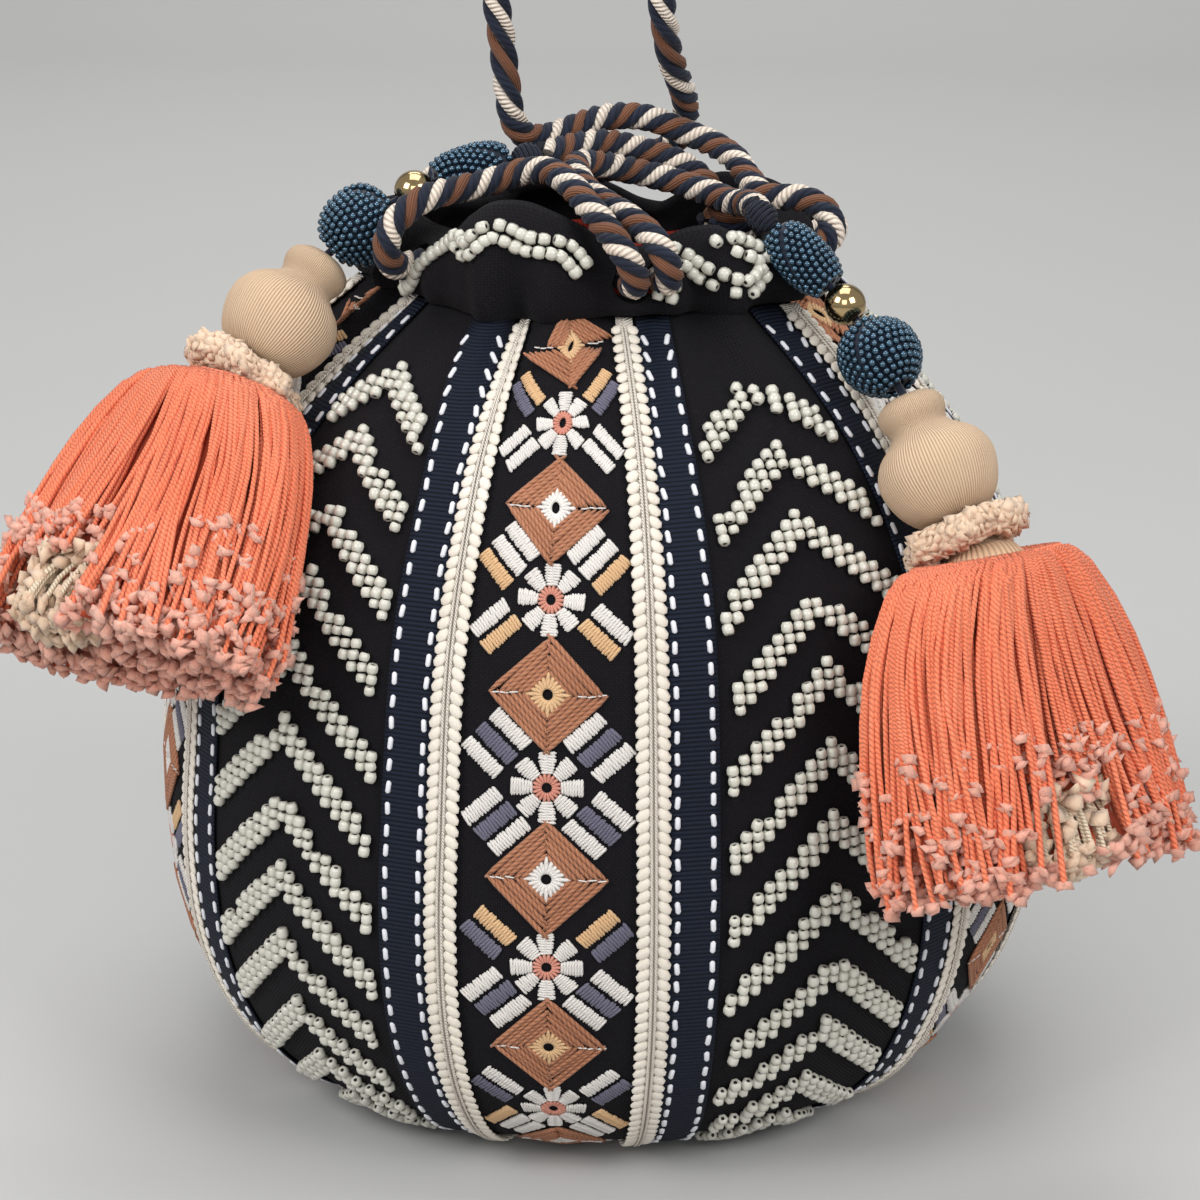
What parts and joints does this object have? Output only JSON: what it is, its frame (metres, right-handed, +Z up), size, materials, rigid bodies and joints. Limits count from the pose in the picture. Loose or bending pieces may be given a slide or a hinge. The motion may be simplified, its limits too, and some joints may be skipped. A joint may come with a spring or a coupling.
{
  "type": "drawstring pouch bag",
  "caption": "Rounded drawstring pouch with embroidered and beaded folk panels, a plaited cord strap and two bead pendants that end in yarn tassels.",
  "frame": {"origin": "centre of the flat base, on the surface that the bag stands on", "axes": "+Z up along the axis of the bag, -Y towards the viewer through the front embroidered panel, +X to the viewer's right"},
  "size_m": [0.2772, 0.2281, 0.2893],
  "materials": {
    "black_cloth": "plain woven cotton",
    "embroidered_cloth": "plain woven cotton with stranded embroidery",
    "beaded_cloth": "plain woven cotton with pearly seed beads",
    "lining_cloth": "plain woven lining, matt",
    "cream_braid": "plaited cotton braid",
    "navy_ribbon": "ribbed grosgrain with white running stitches",
    "plaited_cord": "three-strand plait of cream, navy and brown cord",
    "bead_thread": "waxed thread",
    "blue_seed_beads": "metallic blue seed beads",
    "gold_metal": "polished plating",
    "cream_cotton": "wound and cut cotton yarn",
    "coral_yarn": "twisted cotton yarn with cut ends"
  },
  "bodies": {
    "bag": {"base_panel": "black_cloth", "lining": "lining_cloth", "embroidered_panel_1": "embroidered_cloth", "embroidered_panel_2": "embroidered_cloth", "embroidered_panel_3": "embroidered_cloth", "embroidered_panel_4": "embroidered_cloth", "embroidered_panel_5": "embroidered_cloth", "beaded_panel_1": "beaded_cloth", "beaded_panel_2": "beaded_cloth", "beaded_panel_3": "beaded_cloth", "beaded_panel_4": "beaded_cloth", "beaded_panel_5": "beaded_cloth", "left_braid_1": "cream_braid", "left_ribbon_1": "navy_ribbon", "right_braid_1": "cream_braid", "right_ribbon_1": "navy_ribbon", "left_braid_2": "cream_braid", "left_ribbon_2": "navy_ribbon", "right_braid_2": "cream_braid", "right_ribbon_2": "navy_ribbon", "left_braid_3": "cream_braid", "left_ribbon_3": "navy_ribbon", "right_braid_3": "cream_braid", "right_ribbon_3": "navy_ribbon", "left_braid_4": "cream_braid", "left_ribbon_4": "navy_ribbon", "right_braid_4": "cream_braid", "right_ribbon_4": "navy_ribbon", "left_braid_5": "cream_braid", "left_ribbon_5": "navy_ribbon", "right_braid_5": "cream_braid", "right_ribbon_5": "navy_ribbon", "top_band": "black_cloth", "strap_cord": "plaited_cord", "lacing_cord": "plaited_cord", "left_drawstring": "plaited_cord", "right_drawstring": "plaited_cord", "left_cord_knot": "plaited_cord", "right_cord_knot": "plaited_cord"},
    "left_pendant": {"left_bead_thread": "bead_thread", "left_tassel_head": "cream_cotton", "left_ruffle_collar": "cream_cotton", "left_wrapped_neck": "cream_cotton", "left_tassel_skirt": "coral_yarn", "left_tassel_core": "cream_cotton"},
    "left_barrel": {"left_barrel_bead": "blue_seed_beads"},
    "left_gold": {"left_gold_bead": "gold_metal"},
    "left_ball": {"left_beaded_ball": "blue_seed_beads"},
    "right_pendant": {"right_bead_thread": "bead_thread", "right_tassel_head": "cream_cotton", "right_ruffle_collar": "cream_cotton", "right_wrapped_neck": "cream_cotton", "right_tassel_skirt": "coral_yarn", "right_tassel_core": "cream_cotton"},
    "right_barrel": {"right_barrel_bead": "blue_seed_beads"},
    "right_gold": {"right_gold_bead": "gold_metal"},
    "right_ball": {"right_beaded_ball": "blue_seed_beads"}
  },
  "joints": [
    {"name": "left_pendant_swing", "type": "hinge", "parent": "bag", "child": "left_pendant", "pos_m": [-0.0159, -0.0132, 0.2282], "axis": [-0.4695, 0.8829, 0], "range_deg": [0, 75]},
    {"name": "left_barrel_spin", "type": "hinge", "parent": "left_pendant", "child": "left_barrel", "pos_m": [-0.02789, -0.01959, 0.22606], "axis": [0.8813, 0.4307, 0.1945], "continuous": true},
    {"name": "left_gold_spin", "type": "hinge", "parent": "left_pendant", "child": "left_gold", "pos_m": [-0.04068, -0.02521, 0.22219], "axis": [0.8663, 0.3141, 0.3885], "continuous": true},
    {"name": "left_ball_spin", "type": "hinge", "parent": "left_pendant", "child": "left_ball", "pos_m": [-0.05252, -0.02965, 0.21451], "axis": [0.757, 0.2818, 0.5895], "continuous": true},
    {"name": "right_pendant_swing", "type": "hinge", "parent": "bag", "child": "right_pendant", "pos_m": [0.0413, -0.0315, 0.2188], "axis": [-0.5446, -0.8387, 0], "range_deg": [0, 75]},
    {"name": "right_barrel_spin", "type": "hinge", "parent": "right_pendant", "child": "right_barrel", "pos_m": [0.05108, -0.03623, 0.21022], "axis": [-0.7092, 0.3165, 0.63], "continuous": true},
    {"name": "right_gold_spin", "type": "hinge", "parent": "right_pendant", "child": "right_gold", "pos_m": [0.06118, -0.04051, 0.20062], "axis": [-0.6538, 0.2702, 0.7068], "continuous": true},
    {"name": "right_ball_spin", "type": "hinge", "parent": "right_pendant", "child": "right_ball", "pos_m": [0.06956, -0.04753, 0.19038], "axis": [-0.5048, 0.5564, 0.66], "continuous": true}
  ]
}
